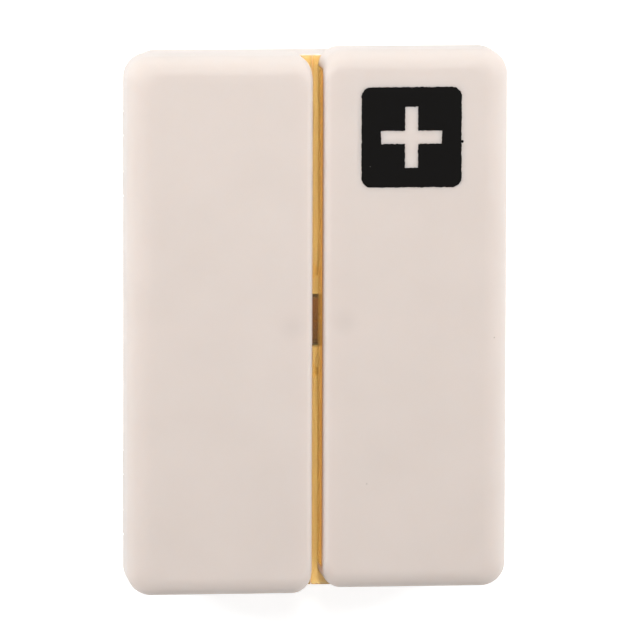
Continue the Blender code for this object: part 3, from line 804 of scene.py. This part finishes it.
def noise_pattern(nodes, links, place, scale, detail, stretch=(1, 1, 1)):
    """Cloudy pattern, drawn out where its stretch is under 1."""
    mapping = nodes.new("ShaderNodeMapping")
    mapping.inputs["Scale"].default_value = stretch
    links.new(place, mapping.inputs["Vector"])
    pattern = nodes.new("ShaderNodeTexNoise")
    pattern.inputs["Scale"].default_value = scale
    pattern.inputs["Detail"].default_value = detail
    links.new(mapping.outputs["Vector"], pattern.inputs["Vector"])
    return pattern.outputs["Fac"]


def colour_ramp(nodes, links, source, span, colours):
    """Colour that goes from the first to the second while a value crosses its span."""
    ramp = nodes.new("ShaderNodeValToRGB")
    for element, position, colour in zip(ramp.color_ramp.elements, span, colours):
        element.position = position
        element.color = (*colour, 1)
    links.new(source, ramp.inputs["Fac"])
    return ramp.outputs["Color"]


def value_range(nodes, links, source, values):
    """Value that goes from the first to the second while a noise pattern crosses its span."""
    spread = nodes.new("ShaderNodeMapRange")
    spread.inputs["From Min"].default_value, spread.inputs["From Max"].default_value = NOISE_SPAN
    spread.inputs["To Min"].default_value, spread.inputs["To Max"].default_value = values
    links.new(source, spread.inputs["Value"])
    return spread.outputs["Result"]


def bump(nodes, links, source, shader, relief_size):
    """Fine relief on a shader, with a strength and a depth."""
    relief = nodes.new("ShaderNodeBump")
    relief.inputs["Strength"].default_value, relief.inputs["Distance"].default_value = relief_size
    links.new(source, relief.inputs["Height"])
    links.new(relief.outputs["Normal"], shader.inputs["Normal"])


def specks(nodes, links, place, scale, radius, share):
    """Mask of small round specks, one in a share of the cells of a pattern."""
    cells = nodes.new("ShaderNodeTexVoronoi")
    cells.inputs["Scale"].default_value = scale
    links.new(place, cells.inputs["Vector"])
    near = nodes.new("ShaderNodeMapRange")
    near.inputs["From Min"].default_value = radius
    near.inputs["From Max"].default_value = radius / 2
    links.new(cells.outputs["Distance"], near.inputs["Value"])
    chosen = nodes.new("ShaderNodeMath")
    chosen.operation = "LESS_THAN"
    chosen.inputs[1].default_value = share
    split = nodes.new("ShaderNodeSeparateColor")
    links.new(cells.outputs["Color"], split.inputs["Color"])
    links.new(split.outputs["Red"], chosen.inputs[0])
    both = nodes.new("ShaderNodeMath")
    both.operation = "MULTIPLY"
    links.new(near.outputs["Result"], both.inputs[0])
    links.new(chosen.outputs["Value"], both.inputs[1])
    return both.outputs["Value"]


def blend_colours(nodes, links, mask, first, second):
    """A colour socket blended with a plain colour by a mask."""
    mix = nodes.new("ShaderNodeMix")
    mix.data_type = "RGBA"
    links.new(mask, mix.inputs["Factor"])
    links.new(first, mix.inputs["A"])
    mix.inputs["B"].default_value = (*second, 1)
    return mix.outputs["Result"]


def near_spots(nodes, links, place, spots, radius):
    """Mask that fades from 1 at the nearest of some points to 0 at a radius from it."""
    nearest = None
    for spot in spots:
        apart = nodes.new("ShaderNodeVectorMath")
        apart.operation = "DISTANCE"
        apart.inputs[1].default_value = spot
        links.new(place, apart.inputs[0])
        if nearest is None:
            nearest = apart.outputs["Value"]
            continue
        least = nodes.new("ShaderNodeMath")
        least.operation = "MINIMUM"
        links.new(nearest, least.inputs[0])
        links.new(apart.outputs["Value"], least.inputs[1])
        nearest = least.outputs["Value"]
    fade = nodes.new("ShaderNodeMapRange")
    fade.interpolation_type = "SMOOTHSTEP"
    fade.inputs["From Min"].default_value = radius
    fade.inputs["From Max"].default_value = 0.0
    links.new(nearest, fade.inputs["Value"])
    return fade.outputs["Result"]


def pale_plastic():
    """Pale moulding with a fine grain and a few specks, shaded where the wing magnets show through."""
    made, nodes, links, shader, place = new_material("pale_plastic")
    cloud = noise_pattern(nodes, links, place, PALE_CLOUD, CLOUD_DETAIL)
    tone = colour_ramp(nodes, links, cloud, NOISE_SPAN, PALE_TONES)
    spot_x = WING_INNER + SPOT_FROM_GAP
    spots = [(side * spot_x, WING_MIDDLE[name], CASE_HEIGHT) for name, side in SIDES.items()]
    shade = near_spots(nodes, links, place, spots, SHADE_RADIUS)
    tone = blend_colours(nodes, links, shade, tone, PALE_SHADE)
    dots = specks(nodes, links, place, *PALE_SPECKS)
    links.new(blend_colours(nodes, links, dots, tone, PALE_SPECK), shader.inputs["Base Color"])
    grain = noise_pattern(nodes, links, place, PALE_GRAIN, FINE_DETAIL)
    links.new(value_range(nodes, links, grain, PALE_ROUGHNESS), shader.inputs["Roughness"])
    bump(nodes, links, grain, shader, PALE_RELIEF)
    shader.inputs["Specular IOR Level"].default_value = PALE_SPECULAR
    shader.inputs["Subsurface Weight"].default_value = PALE_SCATTER
    shader.inputs["Subsurface Radius"].default_value = PALE_SCATTER_RADIUS
    shader.inputs["Subsurface Scale"].default_value = PALE_SCATTER_SCALE
    return made


def tilted(nodes, links, span):
    """0 on faces that lie level when the case is closed, up to 1 on steep ones.

    A face starts to count where the upright part of its normal falls under the span's first value,
    and counts in full under the second.
    """
    place = nodes.new("ShaderNodeTexCoord")
    split = nodes.new("ShaderNodeSeparateXYZ")
    links.new(place.outputs["Normal"], split.inputs["Vector"])
    level = nodes.new("ShaderNodeMath")
    level.operation = "ABSOLUTE"
    links.new(split.outputs["Z"], level.inputs[0])
    spread = nodes.new("ShaderNodeMapRange")
    spread.inputs["From Min"].default_value, spread.inputs["From Max"].default_value = span
    links.new(level.outputs["Value"], spread.inputs["Value"])
    return spread.outputs["Result"]


def amber_plastic():
    """Clear amber that tints what lies behind it and lets the lamps through.

    Its steep faces, the lids' edges and lips, take painted shade in a deeper amber and a faint painted
    glow.
    """
    made, nodes, links, shader, place = new_material("amber_plastic")
    flow = noise_pattern(nodes, links, place, AMBER_FLOW, FINE_DETAIL, AMBER_STRETCH)
    tone = colour_ramp(nodes, links, flow, NOISE_SPAN, AMBER_TONES)
    # Painted shade: steep faces take a deeper amber
    slope = tilted(nodes, links, AMBER_PAINTED_EDGE_SHADE_SPAN)
    links.new(blend_colours(nodes, links, slope, tone, AMBER_PAINTED_EDGE_SHADE), shader.inputs["Base Color"])
    # Painted glow: steep faces give off a faint emission, standing in for light led through the plastic
    edge = tilted(nodes, links, AMBER_PAINTED_GLOW_SPAN)
    glow = colour_ramp(nodes, links, edge, (0.0, 1.0), (BLACK, AMBER_PAINTED_GLOW))
    links.new(glow, shader.inputs["Emission Color"])
    shader.inputs["Emission Strength"].default_value = AMBER_PAINTED_GLOW_STRENGTH
    links.new(value_range(nodes, links, flow, AMBER_ROUGHNESS), shader.inputs["Roughness"])
    shader.inputs["Transmission Weight"].default_value = AMBER_CLEARNESS
    shader.inputs["Specular IOR Level"].default_value = AMBER_SPECULAR
    shader.inputs["IOR"].default_value = AMBER_IOR
    clear = nodes.new("ShaderNodeBsdfTransparent")
    clear.inputs["Color"].default_value = (*AMBER_SHADOW, 1)
    path = nodes.new("ShaderNodeLightPath")
    mix = nodes.new("ShaderNodeMixShader")
    links.new(path.outputs["Is Shadow Ray"], mix.inputs["Fac"])
    links.new(shader.outputs["BSDF"], mix.inputs[1])
    links.new(clear.outputs["BSDF"], mix.inputs[2])
    links.new(mix.outputs["Shader"], nodes["Material Output"].inputs["Surface"])
    return made


def metal(name, tones, roughness, stretch=(1, 1, 1)):
    """Metal whose colour, roughness and relief follow one pattern of stains or drawing marks."""
    made, nodes, links, shader, place = new_material(name)
    shader.inputs["Metallic"].default_value = 1.0
    stain = noise_pattern(nodes, links, place, METAL_STAIN, CLOUD_DETAIL, stretch)
    links.new(colour_ramp(nodes, links, stain, NOISE_SPAN, tones), shader.inputs["Base Color"])
    links.new(value_range(nodes, links, stain, roughness), shader.inputs["Roughness"])
    bump(nodes, links, stain, shader, METAL_RELIEF)
    return made


def black_ink():
    """Matt ink with the pinholes and uneven cover of a pad print."""
    made, nodes, links, shader, place = new_material("black_ink")
    cover = noise_pattern(nodes, links, place, INK_COVER, CLOUD_DETAIL)
    tone = colour_ramp(nodes, links, cover, NOISE_SPAN, INK_TONES)
    holes = specks(nodes, links, place, *INK_PINHOLES)
    links.new(blend_colours(nodes, links, holes, tone, INK_PINHOLE), shader.inputs["Base Color"])
    links.new(value_range(nodes, links, cover, INK_ROUGHNESS), shader.inputs["Roughness"])
    shader.inputs["Specular IOR Level"].default_value = INK_SPECULAR
    bump(nodes, links, cover, shader, INK_RELIEF)
    return made


def seen_rays(nodes, links):
    """1 for rays from the camera and rays reflected or refracted, 0 for rays that light things."""
    path = nodes.new("ShaderNodeLightPath")
    total = path.outputs["Is Camera Ray"]
    for output in ("Is Glossy Ray", "Is Transmission Ray"):
        either = nodes.new("ShaderNodeMath")
        either.operation = "MAXIMUM"
        links.new(total, either.inputs[0])
        links.new(path.outputs[output], either.inputs[1])
        total = either.outputs["Value"]
    return total


def build_stage():
    """White studio: a floor that keeps the shadow, and a world that looks white but lights little."""
    shape = bmesh.new()
    ways = ((-1, -1), (1, -1), (1, 1), (-1, 1))
    corners = [(x * STUDIO_HALF, y * STUDIO_HALF, -STUDIO_DROP) for x, y in ways]
    shape.faces.new([shape.verts.new(corner) for corner in corners])
    floor = link("floor", shape)
    made, nodes, links, shader, _ = new_material("floor")
    shader.inputs["Base Color"].default_value = (*STUDIO_TONE, 1)
    shader.inputs["Roughness"].default_value = STUDIO_ROUGHNESS
    shader.inputs["Specular IOR Level"].default_value = 0.0
    shader.inputs["Emission Color"].default_value = (*WHITE, 1)
    glow = nodes.new("ShaderNodeMath")
    glow.operation = "MULTIPLY"
    glow.inputs[1].default_value = STUDIO_GLOW
    links.new(seen_rays(nodes, links), glow.inputs[0])
    links.new(glow.outputs["Value"], shader.inputs["Emission Strength"])
    floor.data.materials.append(made)

    world = bpy.data.worlds.new("studio")
    world.use_nodes = True
    nodes = world.node_tree.nodes
    links = world.node_tree.links
    dim = nodes["Background"]
    dim.inputs["Color"].default_value = (*WHITE, 1)
    dim.inputs["Strength"].default_value = WORLD_LIGHT
    white = nodes.new("ShaderNodeBackground")
    white.inputs["Color"].default_value = (*WHITE, 1)
    white.inputs["Strength"].default_value = 1.0
    mix = nodes.new("ShaderNodeMixShader")
    links.new(seen_rays(nodes, links), mix.inputs["Fac"])
    links.new(dim.outputs["Background"], mix.inputs[1])
    links.new(white.outputs["Background"], mix.inputs[2])
    links.new(mix.outputs["Shader"], nodes["World Output"].inputs["Surface"])
    bpy.context.scene.world = world


def soft_lamp(name, place, wide, high, power, colour):
    """Area lamp that faces the middle of the case."""
    lamp = bpy.data.lights.new(name, "AREA")
    lamp.shape = "RECTANGLE"
    lamp.size = wide
    lamp.size_y = high
    lamp.energy = power
    lamp.color = colour
    item = bpy.data.objects.new(name, lamp)
    bpy.context.scene.collection.objects.link(item)
    item.location = place
    aim = Vector((0, 0, CASE_HEIGHT / 2)) - Vector(place)
    item.rotation_euler = aim.to_track_quat("-Z", "Y").to_euler()
    item.visible_camera = False


def build_camera():
    """Camera with the photograph's view, as fitted to it."""
    toward = Vector((-math.sin(CAMERA_YAW) * math.cos(CAMERA_TILT), math.sin(CAMERA_TILT),
                     math.cos(CAMERA_YAW) * math.cos(CAMERA_TILT)))
    level = (Vector((0, 1, 0)) - toward * toward.y).normalized()
    across = level.cross(toward)
    right = across * math.cos(CAMERA_ROLL) - level * math.sin(CAMERA_ROLL)
    up = across * math.sin(CAMERA_ROLL) + level * math.cos(CAMERA_ROLL)
    target = Vector((0, BASE_MIDDLE, CASE_HEIGHT / 2))
    eye = target + toward * CAMERA_DISTANCE + right * CAMERA_ASIDE - up * CAMERA_DOWN
    lens = bpy.data.cameras.new("camera")
    lens.lens = CAMERA_LENS
    lens.sensor_width = CAMERA_SENSOR
    lens.clip_start, lens.clip_end = CAMERA_RANGE
    item = bpy.data.objects.new("camera", lens)
    bpy.context.scene.collection.objects.link(item)
    item.matrix_world = Matrix.Translation(eye) @ Matrix((right, up, toward)).transposed().to_4x4()
    bpy.context.scene.camera = item


def build_case():
    """All pieces, in the order base, then left and right."""
    pale = pale_plastic()
    amber = amber_plastic()
    steel = metal("steel", STEEL_TONES, STEEL_ROUGHNESS, STEEL_STRETCH)
    nickel = metal("nickel", MAGNET_TONES, MAGNET_ROUGHNESS)
    build_tray(pale)
    build_magnet("base_magnet", "base", nickel)
    for side_name in SIDES:
        build_wing(side_name, pale)
        build_magnet(f"{side_name}_wing_magnet", f"{side_name}_wing", nickel)
        build_pin(f"base_lid_rod_{side_name}", "base", steel)
        build_pin(f"wing_lid_rod_{side_name}", f"{side_name}_wing", steel)
        for end_name in ENDS:
            build_base_lid(side_name, end_name, amber)
            build_wing_lid(side_name, end_name, amber)
            build_pin(f"hinge_pin_{end_name}_{side_name}", "base", steel)
    build_badge(black_ink())


build_case()
build_stage()
for lamp_name, settings in LAMPS.items():
    soft_lamp(lamp_name, *settings)
build_camera()
bpy.context.scene.view_settings.view_transform = "Standard"
